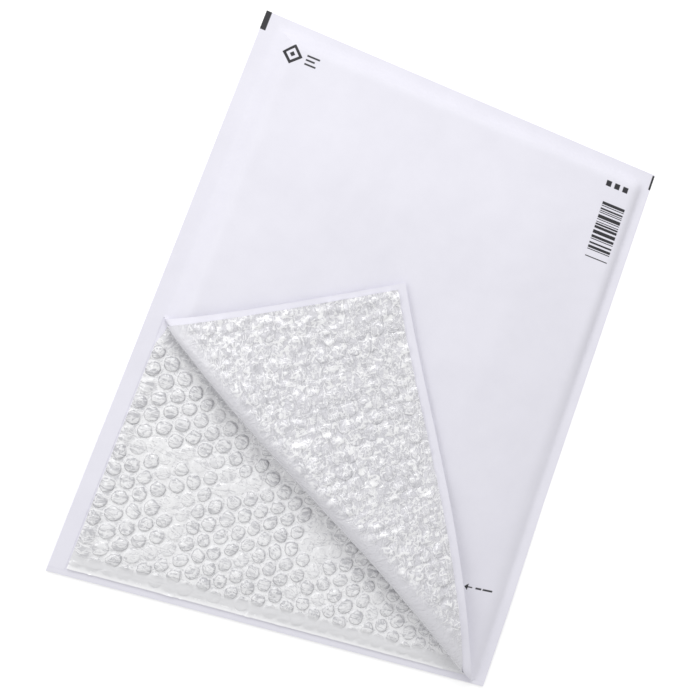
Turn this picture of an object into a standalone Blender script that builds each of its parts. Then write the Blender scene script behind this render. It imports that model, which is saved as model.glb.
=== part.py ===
"""A padded mailing envelope: a folded paper sheet lined with bubble film, its mouth corner turned back.

The envelope lies on its back panel. X runs across it, Y from the mouth to the closed end, Z up.
Both sheets are drawn flat, with depth 0 on the face that looks out of the envelope, and then folded.
"""

import math

import bmesh
import bpy
from mathutils import Matrix, Vector

# Outside size, laid flat and closed at the far end
WIDTH = 0.290
LENGTH = 0.370

# Paper
PAPER = 0.0004
SIDE_SEAM = 0.010
END_SEAM = 0.0065
SEAM_BITE = 0.0002
FRONT_EDGE_INSET = 0.0003
FRONT_SHORT = 0.0035

# Closing flap, folded under the back panel, with its adhesive and the liner that peels off it
FLAP_LENGTH = 0.050
FLAP_TAPER = 0.006
FLAP_FOLD_RADIUS = 0.00025
ADHESIVE_WIDTH = 0.018
ADHESIVE_FROM_EDGE = 0.010
ADHESIVE_THICKNESS = 0.00025
LINER_WIDTH = 0.026
LINER_THICKNESS = 0.00025
LINER_SIDE_INSET = 0.008
ADHESIVE_SIDE_INSET = 0.012
RAMP_LENGTH = 0.075
RAMP_START = 0.003
FRONT_BEND_SHIFT = 0.002

# Bubble film
FILM = 0.0006
FILM_SIDE_INSET = 0.004
FILM_END_INSET = 0.004
FILM_MOUTH_INSET = 0.003
FRONT_FILM_MOUTH_INSET = 0.006
FILM_WELD = 0.002
FILM_WELD_BITE = 0.0003
WELD_FADE = 0.015
BUBBLE_PITCH = 0.0115
BUBBLE_RADIUS = 0.0051
BUBBLE_TOP_RADIUS = 0.0040
BUBBLE_HEIGHT = 0.0032
BUBBLE_SIDES = 6
BUBBLE_EDGE_GAP = 0.0045
BUBBLES_INSIDE_MOUTH = 0.012

# Swell of the front panel over the padding
RISE = 0.008
RISE_WIDTH = 0.010
CROWN = 0.0055
CROWN_SIDE_REACH = 0.075
CROWN_END_REACH = 0.090

# The turned-back corner. The front is torn off the left seam, along the seam's inner edge from the
# mouth up to TURN_START, and folded over a line from there to the right seam at the mouth
TURN_START = 0.1645
TEAR_GAP = 0.0006
CURL_RADIUS = 0.0075
CURL_END_RADIUS = 0.0008
CURL_FULLNESS = 0.5
FOLD_BOW = 0.0026
FOLD_SWAY = 0.0022
DROOP = math.radians(6.0)
SIDE_DRIFT = -0.045
TURN_LENGTH = 0.125
CORNER_LIFT = 0.0035

# Clearance between sheets that lie on each other
GAP = 0.0003

# Spacing of the lines where the sheets may bend
PANEL_STEP = 0.045
CURL_STEP = 0.003
CURL_FIRST_STEP = 0.0007
MERGE = 0.0001
FLAP_FOLD_STEPS = 4

# Levels that follow from the sizes above
LINER_TOP = LINER_THICKNESS
ADHESIVE_BOTTOM = LINER_TOP + GAP
ADHESIVE_TOP = ADHESIVE_BOTTOM + ADHESIVE_THICKNESS
MOUTH_RAISE = ADHESIVE_TOP + GAP + PAPER + 2 * FLAP_FOLD_RADIUS
LAP_TOP = 2 * PAPER - SEAM_BITE
FILM_DEPTH = PAPER + GAP
FILM_TOP = FILM_DEPTH + FILM
SEAM_X = WIDTH / 2 - SIDE_SEAM
SEAM_Y = LENGTH / 2 - END_SEAM
FILM_X = SEAM_X - FILM_SIDE_INSET
FILM_Y = SEAM_Y - FILM_END_INSET
MOUTH_Y = -LENGTH / 2
FRONT_MOUTH_Y = MOUTH_Y + FRONT_SHORT
FILM_MOUTH_Y = MOUTH_Y + FILM_MOUTH_INSET
FRONT_FILM_MOUTH_Y = FRONT_MOUTH_Y + FRONT_FILM_MOUTH_INSET
FLAP_EDGE_Y = MOUTH_Y + FLAP_LENGTH
RAMP_TOP_Y = FLAP_EDGE_Y + RAMP_START
RAMP_FOOT_Y = RAMP_TOP_Y + RAMP_LENGTH

# The fold line, its direction from the tear to the right seam, and the way to the turned corner
TEAR_X = -SEAM_X + TEAR_GAP
FOLD_START = Vector((TEAR_X, MOUTH_Y + TURN_START))
FOLD_END = Vector((SEAM_X, FRONT_MOUTH_Y))
FOLD_LENGTH = (FOLD_END - FOLD_START).length
ALONG = (FOLD_END - FOLD_START).normalized()
ACROSS = Vector((ALONG.y, -ALONG.x))
CURL_ANGLE = math.pi + DROOP


def smooth(share):
    """A ramp from 0 to 1 that is level at both ends."""
    share = min(1.0, max(0.0, share))
    return share * share * (3 - 2 * share)


def back_level(y):
    """Height of the back panel's underside: on the table, then up over the folded flap."""
    return MOUTH_RAISE * min(1.0, max(0.0, (RAMP_FOOT_Y - y) / RAMP_LENGTH))


def front_level(x, y):
    """Height of the front panel's outer face, swelled over the padding inside the seams."""
    from_side = SEAM_X - abs(x)
    from_end = SEAM_Y - y
    rise = RISE * smooth(min(from_side, from_end) / RISE_WIDTH)
    crown = CROWN * smooth(from_side / CROWN_SIDE_REACH) * smooth(from_end / CROWN_END_REACH)
    return back_level(y) + LAP_TOP + rise + crown


def to_fold(x, y):
    """Distance past the fold line towards the turned corner, and distance along it from the seam."""
    arm = Vector((x, y)) - FOLD_START
    return arm.dot(ACROSS), arm.dot(ALONG)


def from_fold(past, along):
    return FOLD_START + ACROSS * past + ALONG * along


def curl_radius(along):
    """The curl is tight where it meets the seam and the mouth corner, and wide between them."""
    share = min(1.0, max(0.0, along / FOLD_LENGTH))
    return CURL_END_RADIUS + (CURL_RADIUS - CURL_END_RADIUS) * math.sin(math.pi * share) ** CURL_FULLNESS


def curl_start(along):
    """Where the curl begins: its outermost line wavers a little about the straight fold line."""
    share = min(1.0, max(0.0, along / FOLD_LENGTH))
    waver = FOLD_SWAY * math.sin(2 * math.pi * share) - FOLD_BOW * math.sin(math.pi * share)
    return waver - curl_radius(along)


def turned_drop(spot, foot, beyond, radius):
    """How the turned corner sinks from the top of its curl towards the front panel that it lies over."""
    share = min(1.0, beyond / TURN_LENGTH)
    lift = 2 * radius + (CORNER_LIFT - 2 * radius) * share
    panel_change = front_level(spot.x, spot.y) - front_level(foot.x, foot.y)
    return panel_change * smooth(beyond / PANEL_STEP) + lift - 2 * radius


def place_front(x, y, depth):
    """A point of the front sheet, from its flat place to its place on the folded envelope."""
    past, along = to_fold(x, y)
    radius = curl_radius(along)
    start = curl_start(along)
    if past <= start or x < TEAR_X - TEAR_GAP / 2:
        return Vector((x, y, front_level(x, y) - depth - weld_dip(x, y, depth)))
    foot = from_fold(start, along)
    axis_z = front_level(foot.x, foot.y) + radius
    turn = min((past - start) / radius, CURL_ANGLE)
    beyond = max(0.0, past - start - radius * CURL_ANGLE)
    reach = start + (radius + depth) * math.sin(turn) - beyond * math.cos(DROOP)
    height = axis_z - (radius + depth) * math.cos(turn)
    spot = from_fold(reach, along + SIDE_DRIFT * beyond)
    if beyond > 0:
        height += turned_drop(spot, foot, beyond, radius)
    return Vector((spot.x, spot.y, height))


def weld_dip(x, y, depth):
    """How far the front film drops to its weld with the back film along the seams and closed end."""
    if depth < FILM_DEPTH:
        return 0.0
    from_edge = min(FILM_X - abs(x), FILM_Y - y)
    past, along = to_fold(x, y)
    inside = smooth((curl_start(along) - past) / WELD_FADE)
    weld_level = back_level(y) + FILM_TOP + FILM - FILM_WELD_BITE
    drop = front_level(x, y) - FILM_DEPTH - weld_level
    return max(0.0, drop) * (1 - min(1.0, max(0.0, from_edge / FILM_WELD))) * inside


def place_back(x, y, depth):
    """A point of the back sheet. Past the mouth fold it is the flap, folded under."""
    axis_y = MOUTH_Y + FLAP_FOLD_RADIUS + PAPER
    beyond = axis_y - y
    if beyond <= 0:
        return Vector((x, y, back_level(y) + depth))
    turn = min(beyond / FLAP_FOLD_RADIUS, math.pi)
    straight = beyond - FLAP_FOLD_RADIUS * turn
    reach = axis_y - (FLAP_FOLD_RADIUS + depth) * math.sin(turn) + straight
    height = MOUTH_RAISE - FLAP_FOLD_RADIUS + (FLAP_FOLD_RADIUS + depth) * math.cos(turn)
    taper = FLAP_TAPER * straight / FLAP_LENGTH
    return Vector((x * (1 - taper / (WIDTH / 2)), reach, height))


def curl_lines(end):
    """Bend lines from the fold line out to end, close together first, as the tight ends need them."""
    reach = math.copysign(CURL_FIRST_STEP, end)
    lines = []
    while abs(reach) < abs(end) - CURL_STEP / 2:
        lines.append(reach)
        reach += min(abs(reach), CURL_STEP) * math.copysign(1, end)
    return lines + [end]


def even_lines(low, high, step):
    """Evenly spaced stations from low to high, both left out, no further apart than step."""
    count = max(1, math.ceil((high - low) / step))
    return [low + (high - low) * k / count for k in range(1, count)]


def flat_sheet(low, high):
    """A flat rectangle between two corners, as one face."""
    bm = bmesh.new()
    middle = (Vector(low) + Vector(high)) / 2
    size = Vector(high) - Vector(low)
    shape = Matrix.Translation((middle.x, middle.y, 0)) @ Matrix.Diagonal((size.x, size.y, 1, 1))
    bmesh.ops.create_grid(bm, x_segments=1, y_segments=1, size=0.5, matrix=shape)
    return bm


def cut(bm, point, normal):
    """Adds a bend line across the whole flat sheet."""
    geometry = bm.verts[:] + bm.edges[:] + bm.faces[:]
    bmesh.ops.bisect_plane(
        bm, geom=geometry, dist=1e-5, plane_co=(point[0], point[1], 0), plane_no=(normal[0], normal[1], 0)
    )


def trim(bm, point, normal):
    """Cuts the flat sheet and drops what lies on the side that normal points to."""
    geometry = bm.verts[:] + bm.edges[:] + bm.faces[:]
    bmesh.ops.bisect_plane(
        bm,
        geom=geometry,
        dist=1e-5,
        plane_co=(point[0], point[1], 0),
        plane_no=(normal[0], normal[1], 0),
        clear_outer=True,
    )


def thicken(bm, low, high):
    """Turns the flat sheet into a slab from one depth to another."""
    bmesh.ops.translate(bm, verts=bm.verts, vec=(0, 0, low))
    grown = bmesh.ops.extrude_face_region(bm, geom=bm.faces[:])["geom"]
    new_verts = [item for item in grown if isinstance(item, bmesh.types.BMVert)]
    bmesh.ops.translate(bm, verts=new_verts, vec=(0, 0, high - low))
    bmesh.ops.recalc_face_normals(bm, faces=bm.faces)


def fold_up(bm, place):
    """Moves every point of a flat slab to its folded place."""
    for vert in bm.verts:
        vert.co = place(*vert.co)
    bmesh.ops.recalc_face_normals(bm, faces=bm.faces)


def add_object(name, bm, collection):
    mesh = bpy.data.meshes.new(name)
    bm.to_mesh(mesh)
    bm.free()
    made = bpy.data.objects.new(name, mesh)
    collection.objects.link(made)
    return made


def join_with(target, tool):
    """A Boolean union of tool into target. The tool stays as a guide."""
    tool.hide_render = True
    tool.display_type = "WIRE"
    union = target.modifiers.new("join", "BOOLEAN")
    union.operation = "UNION"
    union.solver = "EXACT"
    union.object = tool


def evaluated_bmesh(target):
    """The object's mesh with its modifiers applied, as a bmesh."""
    bpy.context.view_layer.update()
    mesh = target.evaluated_get(bpy.context.evaluated_depsgraph_get()).to_mesh()
    bm = bmesh.new()
    bm.from_mesh(mesh)
    return bm


def material(name, colour, roughness):
    made = bpy.data.materials.new(name)
    made.use_nodes = True
    shader = made.node_tree.nodes["Principled BSDF"]
    shader.inputs["Base Color"].default_value = (*colour, 1)
    shader.inputs["Roughness"].default_value = roughness
    shader.inputs["Metallic"].default_value = 0.0
    return made


def in_tear(spot):
    """Whether a point of the flat front lies in the narrow tear beside the left seam."""
    return -SEAM_X < spot.x < TEAR_X and spot.y < FOLD_START.y


def flat_front():
    """The front sheet laid flat, with the bend lines that paper and film share."""
    edge = FRONT_EDGE_INSET
    bm = flat_sheet(
        (-WIDTH / 2 + edge, FRONT_MOUTH_Y, 0),
        (WIDTH / 2 - edge, LENGTH / 2 - edge, 0),
    )
    rise_end = SEAM_X - RISE_WIDTH
    cut(bm, (TEAR_X, 0), (1, 0))
    cut(bm, FOLD_START, (0, 1))
    side_lines = [SEAM_X, FILM_X, FILM_X - FILM_WELD, rise_end]
    for x in side_lines:
        cut(bm, (x, 0), (1, 0))
        cut(bm, (-x, 0), (1, 0))
    for x in even_lines(-rise_end, rise_end, PANEL_STEP):
        cut(bm, (x, 0), (1, 0))
    rise_end_y = SEAM_Y - RISE_WIDTH
    ramp_top, ramp_foot = RAMP_TOP_Y - FRONT_BEND_SHIFT, RAMP_FOOT_Y - FRONT_BEND_SHIFT
    for y in (SEAM_Y, FILM_Y, FILM_Y - FILM_WELD, rise_end_y, ramp_top, ramp_foot, FRONT_FILM_MOUTH_Y):
        cut(bm, (0, y), (0, 1))
    for y in even_lines(ramp_foot, rise_end_y, PANEL_STEP):
        cut(bm, (0, y), (0, 1))
    curl_low = -CURL_RADIUS - FOLD_BOW - FOLD_SWAY
    curl_high = CURL_RADIUS * (CURL_ANGLE - 1) + FOLD_SWAY
    for past in [*curl_lines(curl_low), 0.0, *curl_lines(curl_high)]:
        cut(bm, from_fold(past, 0), ACROSS)
    torn = [face for face in bm.faces if in_tear(face.calc_center_median())]
    bmesh.ops.delete(bm, geom=torn, context="FACES")
    bmesh.ops.remove_doubles(bm, verts=bm.verts, dist=MERGE)
    bmesh.ops.triangulate(bm, faces=bm.faces[:])
    return bm


def back_paper(collection):
    """The back panel and the closing flap, one sheet with a fold at the mouth."""
    fold_y = MOUTH_Y + FLAP_FOLD_RADIUS + PAPER
    fold_arc = math.pi * FLAP_FOLD_RADIUS
    flap_straight = FLAP_LENGTH - FLAP_FOLD_RADIUS - PAPER
    bm = flat_sheet((-WIDTH / 2, fold_y - fold_arc - flap_straight, 0), (WIDTH / 2, LENGTH / 2, 0))
    for step in range(FLAP_FOLD_STEPS + 1):
        cut(bm, (0, fold_y - fold_arc * step / FLAP_FOLD_STEPS), (0, 1))
    for y in (RAMP_TOP_Y, RAMP_FOOT_Y):
        cut(bm, (0, y), (0, 1))
    thicken(bm, 0, PAPER)
    fold_up(bm, place_back)
    return add_object("back_and_flap", bm, collection)


def paper_envelope(collection, guides):
    """Front panel, back panel and flap, with the side laps and the closed end glued into one piece."""
    bm = flat_front()
    thicken(bm, 0, PAPER)
    fold_up(bm, place_front)
    made = add_object("paper_envelope", bm, collection)
    join_with(made, back_paper(guides))
    made.data.materials.append(material("white_paper", (0.84, 0.83, 0.89), 0.75))
    return made


def bubble_centres(low, high, wanted):
    """Places of close-packed bubbles in columns along the envelope, between two corners, that wanted allows."""
    column_step = BUBBLE_PITCH * math.sqrt(3) / 2
    centres = []
    for column in range(math.ceil(low[0] / column_step), math.floor(high[0] / column_step) + 1):
        shift = 0.5 * (column % 2)
        first = math.ceil(low[1] / BUBBLE_PITCH - shift)
        last = math.floor(high[1] / BUBBLE_PITCH - shift)
        for row in range(first, last + 1):
            x, y = column_step * column, BUBBLE_PITCH * (row + shift)
            if wanted(x, y):
                centres.append((x, y))
    return centres


def flat_bubbles(name, centres, film_depth, collection):
    """Bubbles standing on a flat film, sunk halfway into it so that they join."""
    sunk = FILM / 2
    bm = bmesh.new()
    for x, y in centres:
        middle = film_depth + FILM + (BUBBLE_HEIGHT - sunk) / 2
        bmesh.ops.create_cone(
            bm,
            cap_ends=True,
            segments=BUBBLE_SIDES,
            radius1=BUBBLE_RADIUS,
            radius2=BUBBLE_TOP_RADIUS,
            depth=BUBBLE_HEIGHT + sunk,
            matrix=Matrix.Translation((x, y, middle)),
        )
    return add_object(name, bm, collection)


def front_film(guides):
    """The film on the front panel, with bubbles where the turned corner shows them."""
    bm = flat_front()
    trim(bm, (FILM_X, 0), (1, 0))
    trim(bm, (-FILM_X, 0), (-1, 0))
    trim(bm, (0, FILM_Y), (0, 1))
    trim(bm, (0, FRONT_FILM_MOUTH_Y), (0, -1))
    thicken(bm, FILM_DEPTH, FILM_TOP)
    flat = add_object("front_film_flat", bm, guides)
    edge = BUBBLE_RADIUS + BUBBLE_EDGE_GAP

    def wanted(x, y):
        past, along = to_fold(x, y)
        return past > curl_start(along) + curl_radius(along) * CURL_ANGLE + BUBBLE_RADIUS

    low = (-FILM_X + edge, FRONT_FILM_MOUTH_Y + edge)
    centres = bubble_centres(low, (FILM_X - edge, RAMP_FOOT_Y + LENGTH / 2), wanted)
    join_with(flat, flat_bubbles("front_bubbles", centres, FILM_DEPTH, guides))
    bm = evaluated_bmesh(flat)
    fold_up(bm, place_front)
    bpy.data.objects.remove(flat)
    return add_object("front_film", bm, guides)


def back_film(guides):
    """The film on the back panel, with bubbles in the open corner and just inside the mouth."""
    bm = flat_sheet((-FILM_X, FILM_MOUTH_Y, 0), (FILM_X, FILM_Y, 0))
    for y in (RAMP_TOP_Y, RAMP_FOOT_Y):
        cut(bm, (0, y), (0, 1))
    thicken(bm, FILM_DEPTH, FILM_TOP)
    flat = add_object("back_film_flat", bm, guides)
    edge = BUBBLE_RADIUS + BUBBLE_EDGE_GAP
    headroom = FILM_TOP + BUBBLE_HEIGHT + GAP

    def wanted(x, y):
        past, along = to_fold(x, y)
        covered = past < BUBBLE_RADIUS
        under = front_level(min(abs(x) + BUBBLE_RADIUS, SEAM_X), y) - back_level(y) - FILM_TOP
        return past > -BUBBLES_INSIDE_MOUTH and (under > headroom or not covered)

    low = (-FILM_X + edge, FILM_MOUTH_Y + edge)
    centres = bubble_centres(low, (FILM_X - edge, RAMP_FOOT_Y + LENGTH / 2), wanted)
    join_with(flat, flat_bubbles("back_bubbles", centres, FILM_DEPTH, guides))
    bm = evaluated_bmesh(flat)
    for vert in bm.verts:
        vert.co.z += back_level(vert.co.y)
    bpy.data.objects.remove(flat)
    return add_object("back_film", bm, guides)


def bubble_lining(collection, guides):
    """One pouch of bubble film: back and front films welded along the seams and the closed end."""
    bm = evaluated_bmesh(back_film(guides))
    made = add_object("bubble_lining", bm, collection)
    join_with(made, front_film(guides))
    made.data.materials.append(material("clear_bubble_film", (0.78, 0.78, 0.80), 0.2))
    return made


def strip(name, low, high, collection):
    """A flat strip between two corners."""
    bm = bmesh.new()
    middle = (Vector(low) + Vector(high)) / 2
    size = Vector(high) - Vector(low)
    shape = Matrix.Translation(middle) @ Matrix.Diagonal((*size, 1))
    bmesh.ops.create_cube(bm, size=1.0, matrix=shape)
    return add_object(name, bm, collection)


def flap_adhesive(collection):
    """The hot-melt band on the flap's inner face, which looks down at the table."""
    half = WIDTH / 2 - FLAP_TAPER - ADHESIVE_SIDE_INSET
    far_y = FLAP_EDGE_Y - ADHESIVE_FROM_EDGE
    made = strip(
        "flap_adhesive",
        (-half, far_y - ADHESIVE_WIDTH, ADHESIVE_BOTTOM),
        (half, far_y, ADHESIVE_TOP),
        collection,
    )
    made.data.materials.append(material("hot_melt", (0.80, 0.76, 0.62), 0.35))
    return made


def release_liner(collection):
    """The siliconed strip that covers the adhesive, a little wider than it on every side."""
    half = WIDTH / 2 - FLAP_TAPER - LINER_SIDE_INSET
    overhang = (LINER_WIDTH - ADHESIVE_WIDTH) / 2
    far_y = FLAP_EDGE_Y - ADHESIVE_FROM_EDGE + overhang
    made = strip(
        "release_liner",
        (-half, far_y - LINER_WIDTH, 0),
        (half, far_y, LINER_TOP),
        collection,
    )
    made.data.materials.append(material("release_paper", (0.88, 0.86, 0.80), 0.4))
    return made


def collection_named(name):
    made = bpy.data.collections.new(name)
    bpy.context.scene.collection.children.link(made)
    return made


def main():
    for old in list(bpy.data.objects):
        bpy.data.objects.remove(old)
    envelope = collection_named("padded_envelope")
    guides = collection_named("guides")
    paper_envelope(envelope, guides)
    bubble_lining(envelope, guides)
    flap_adhesive(envelope)
    release_liner(envelope)
    for guide in guides.objects:
        guide.hide_render = True
        guide.display_type = "WIRE"


main()
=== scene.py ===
import math

import bmesh
import bpy
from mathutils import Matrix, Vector, noise


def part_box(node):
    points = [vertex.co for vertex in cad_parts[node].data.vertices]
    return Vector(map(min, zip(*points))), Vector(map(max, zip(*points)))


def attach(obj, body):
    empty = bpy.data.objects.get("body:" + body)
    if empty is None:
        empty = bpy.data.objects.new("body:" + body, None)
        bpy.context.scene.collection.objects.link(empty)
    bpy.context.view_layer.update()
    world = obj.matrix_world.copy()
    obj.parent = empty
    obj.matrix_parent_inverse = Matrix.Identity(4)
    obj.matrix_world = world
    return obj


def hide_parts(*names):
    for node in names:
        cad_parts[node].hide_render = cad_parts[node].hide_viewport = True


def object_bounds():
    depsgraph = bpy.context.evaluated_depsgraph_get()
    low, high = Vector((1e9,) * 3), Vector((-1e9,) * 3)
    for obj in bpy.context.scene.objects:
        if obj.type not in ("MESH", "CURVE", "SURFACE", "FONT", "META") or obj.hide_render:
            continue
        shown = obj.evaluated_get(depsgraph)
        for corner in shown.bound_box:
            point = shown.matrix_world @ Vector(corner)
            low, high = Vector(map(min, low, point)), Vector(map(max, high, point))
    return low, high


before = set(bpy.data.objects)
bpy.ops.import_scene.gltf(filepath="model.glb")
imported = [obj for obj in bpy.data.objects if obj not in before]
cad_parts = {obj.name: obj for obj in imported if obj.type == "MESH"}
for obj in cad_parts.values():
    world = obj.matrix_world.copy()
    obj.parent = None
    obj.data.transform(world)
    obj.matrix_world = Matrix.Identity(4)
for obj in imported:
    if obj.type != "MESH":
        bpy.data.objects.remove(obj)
cad_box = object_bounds()

# The front panel: one sheet of white kraft paper, sealed to the back along both sides and the closed
# end. It is torn off the left seam from the mouth up, and that corner is rolled back over the panel,
# so the sheet is laid out flat here and every point is then moved to its folded place.
paper_low, paper_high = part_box("paper_envelope")
WIDTH = paper_high.x - paper_low.x
LENGTH = paper_high.y - paper_low.y
SHEET = 0.0003
SIDE_SEAM = 0.010
END_SEAM = 0.0065
SEAM_X = WIDTH / 2 - SIDE_SEAM
SEAM_Y = LENGTH / 2 - END_SEAM
MOUTH_Y = -LENGTH / 2
FRONT_MOUTH_Y = MOUTH_Y + 0.0035
FRONT_INSET = 0.0003
LAP_TOP = 0.0006

MOUTH_RAISE = 0.0020
RAMP_FOOT_Y = -0.057
RAMP_LENGTH = 0.075

RISE = 0.008
RISE_WIDTH = 0.010
LEFT_RISE_WIDTH = 0.016
CROWN = 0.0055
CROWN_SIDE_REACH = 0.075
CROWN_END_REACH = 0.090
RIGHT_CREASE_X = WIDTH / 2 - 0.0072
SLOPE_SHARE = 0.50
SLOPE_WIDTH = 0.042
STEEP_WIDTH = 0.013
SLOPE_FROM_Y = 0.110
SLOPE_REACH = 0.150
COCKLES = ((0.0005, 0.055, 1.5), (0.00015, 0.013, 4.5))
COCKLE_REACH = 0.02

TEAR_GAP = 0.0006
TEAR_X = -SEAM_X + TEAR_GAP
TURN_START = 0.1645
FOLD_START = Vector((TEAR_X, MOUTH_Y + TURN_START))
FOLD_END = Vector((SEAM_X, FRONT_MOUTH_Y))
FOLD_LENGTH = (FOLD_END - FOLD_START).length
ALONG = (FOLD_END - FOLD_START).normalized()
ACROSS = Vector((ALONG.y, -ALONG.x))
CURL_RADIUS = 0.0075
CURL_END_RADIUS = 0.0008
CURL_FULLNESS = 0.5
FOLD_BOW = 0.0026
FOLD_SWAY = 0.0022
DROOP = math.radians(6)
CURL_ANGLE = math.pi + DROOP
SIDE_DRIFT = -0.045
SETTLE_LENGTH = 0.060
CORNER_LIFT = 0.0035
LIFT_REACH = 0.045

CUT_TOLERANCE = 1e-6
SHARP_ANGLE = math.radians(40)
LAYOUT_MARGIN = 0.002
SHEET_SQUARE = 0.0023
ROLL_SQUARE = 0.0008
ROLL_LOW = -0.0115
ROLL_HIGH = 0.0200


def smooth(share):
    """A ramp from 0 to 1 that is level at both ends, for a share between them."""
    share = min(1.0, max(0.0, share))
    return share * share * (3 - 2 * share)


def uneven(x, y, size, layer):
    """Soft unevenness between about -1 and 1, with waves of a size in metres. Each layer has its own."""
    return noise.noise(Vector((x / size, y / size, layer)))


def back_level(y):
    """Height of the back panel's underside: on the table, then up over the folded flap."""
    return MOUTH_RAISE * min(1.0, max(0.0, (RAMP_FOOT_Y - y) / RAMP_LENGTH))


def rounded(share):
    """A ramp from 0 to 1 that starts steeply, from a crease, and ends level."""
    share = min(1.0, max(0.0, share))
    return 1 - (1 - share) ** 2


def seam_rise(x, y):
    """Share of the full rise. On the right it starts from a crease, and partly it is a wide slope."""
    from_side = SEAM_X - abs(x)
    from_end = SEAM_Y - y
    if x <= 0:
        return smooth(min(from_side / LEFT_RISE_WIDTH, from_end / RISE_WIDTH))
    from_crease = RIGHT_CREASE_X - x
    towards_mouth = smooth((SLOPE_FROM_Y - y) / SLOPE_REACH)
    steep_width = RISE_WIDTH - (RISE_WIDTH - STEEP_WIDTH) * towards_mouth
    steep = rounded(from_crease / steep_width) * smooth(from_end / RISE_WIDTH)
    sloping = rounded(from_crease / SLOPE_WIDTH)
    return steep + (sloping - steep) * SLOPE_SHARE * towards_mouth


def front_level(x, y):
    """Height of the front panel's outer face, swelled over the padding inside the seams."""
    from_side = SEAM_X - abs(x)
    from_end = SEAM_Y - y
    crown = CROWN * smooth(from_side / CROWN_SIDE_REACH) * smooth(from_end / CROWN_END_REACH)
    cockle = sum(height * uneven(x, y, size, layer) for height, size, layer in COCKLES)
    cockle *= smooth(min(from_side, from_end) / COCKLE_REACH)
    return back_level(y) + LAP_TOP + RISE * seam_rise(x, y) + crown + cockle


def to_fold(x, y):
    """Distance past the fold line towards the turned corner, and distance along it from the tear."""
    arm = Vector((x, y)) - FOLD_START
    return arm.dot(ACROSS), arm.dot(ALONG)


def from_fold(past, along):
    """The flat place at those two distances from the fold line."""
    return FOLD_START + ACROSS * past + ALONG * along


def curl_radius(along):
    """The roll is tight where it meets the tear and the mouth corner, and wide between them."""
    share = min(1.0, max(0.0, along / FOLD_LENGTH))
    return CURL_END_RADIUS + (CURL_RADIUS - CURL_END_RADIUS) * math.sin(math.pi * share) ** CURL_FULLNESS


def curl_start(along):
    """Where the roll begins: its outermost line wavers a little about the straight fold line."""
    share = min(1.0, max(0.0, along / FOLD_LENGTH))
    waver = FOLD_SWAY * math.sin(2 * math.pi * share) - FOLD_BOW * math.sin(math.pi * share)
    return waver - curl_radius(along)


def place_front(x, y, depth):
    """A point of the front, moved to its folded place. Depth counts in from the outer face."""
    past, along = to_fold(x, y)
    radius = curl_radius(along)
    start = curl_start(along)
    if past <= start or x < TEAR_X - TEAR_GAP / 2:
        return Vector((x, y, front_level(x, y) - depth))
    foot = from_fold(start, along)
    foot_level = front_level(foot.x, foot.y)
    turn = min((past - start) / radius, CURL_ANGLE)
    beyond = max(0.0, past - start - radius * CURL_ANGLE)
    reach = start + (radius + depth) * math.sin(turn) - beyond * math.cos(DROOP)
    height = foot_level + radius - (radius + depth) * math.cos(turn)
    spot = from_fold(reach, along + SIDE_DRIFT * beyond)
    if beyond > 0:
        lift = (CORNER_LIFT - 2 * radius) * min(1.0, beyond / SETTLE_LENGTH)
        height += (front_level(spot.x, spot.y) - foot_level) * smooth(beyond / LIFT_REACH) + lift
    return Vector((spot.x, spot.y, height))


def fold_stations(low, high, curl_low, curl_high, step, curl_step):
    """Distances from the fold line, close together where the sheet rolls and wide elsewhere."""
    stations = []
    parts = ((low, curl_low, step), (curl_low, curl_high, curl_step), (curl_high, high, step))
    for start, end, gap in parts:
        count = math.ceil((end - start) / gap)
        stations += [start + (end - start) * k / count for k in range(count)]
    return stations + [high]


def trim(bm, point, normal, keep_both=False):
    """Cuts a flat sheet along a line. Unless both sides are kept, what normal points to is dropped."""
    bmesh.ops.bisect_plane(
        bm,
        geom=bm.verts[:] + bm.edges[:] + bm.faces[:],
        dist=CUT_TOLERANCE,
        plane_co=(*point, 0),
        plane_no=(*normal, 0),
        clear_outer=not keep_both,
    )


def drop_tear(bm, seam_edge):
    """Takes away what was left between the seam and the torn edge, beside the opened part."""
    loose = []
    for face in bm.faces:
        middle = face.calc_center_median()
        if seam_edge < middle.x < TEAR_X and middle.y < FOLD_START.y:
            loose.append(face)
    bmesh.ops.delete(bm, geom=loose, context="FACES")


def add_piece(name, bm, place, thickness=0.0):
    """Keeps the flat layout as the UV map, folds the sheet up, thickens it and puts it on the part."""
    layout = bm.loops.layers.uv.new("flat")
    for face in bm.faces:
        for loop in face.loops:
            loop[layout].uv = loop.vert.co.xy
    for vert in bm.verts:
        vert.co = place(*vert.co)
    if thickness:
        bm.normal_update()
        bmesh.ops.solidify(bm, geom=bm.faces[:], thickness=thickness)
    mesh = bpy.data.meshes.new(name)
    bm.to_mesh(mesh)
    bm.free()
    mesh.shade_smooth()
    mesh.set_sharp_from_angle(angle=SHARP_ANGLE)
    piece = bpy.data.objects.new(name, mesh)
    bpy.context.scene.collection.objects.link(piece)
    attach(piece, "root")
    return piece


corners = [to_fold(x, y) for x in (-WIDTH / 2, WIDTH / 2) for y in (MOUTH_Y, LENGTH / 2)]
past_low = min(past for past, along in corners) - LAYOUT_MARGIN
past_high = max(past for past, along in corners) + LAYOUT_MARGIN
along_low = min(along for past, along in corners) - LAYOUT_MARGIN
along_high = max(along for past, along in corners) + LAYOUT_MARGIN
past_stations = fold_stations(past_low, past_high, ROLL_LOW, ROLL_HIGH, SHEET_SQUARE, ROLL_SQUARE)
along_count = math.ceil((along_high - along_low) / SHEET_SQUARE)

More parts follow.
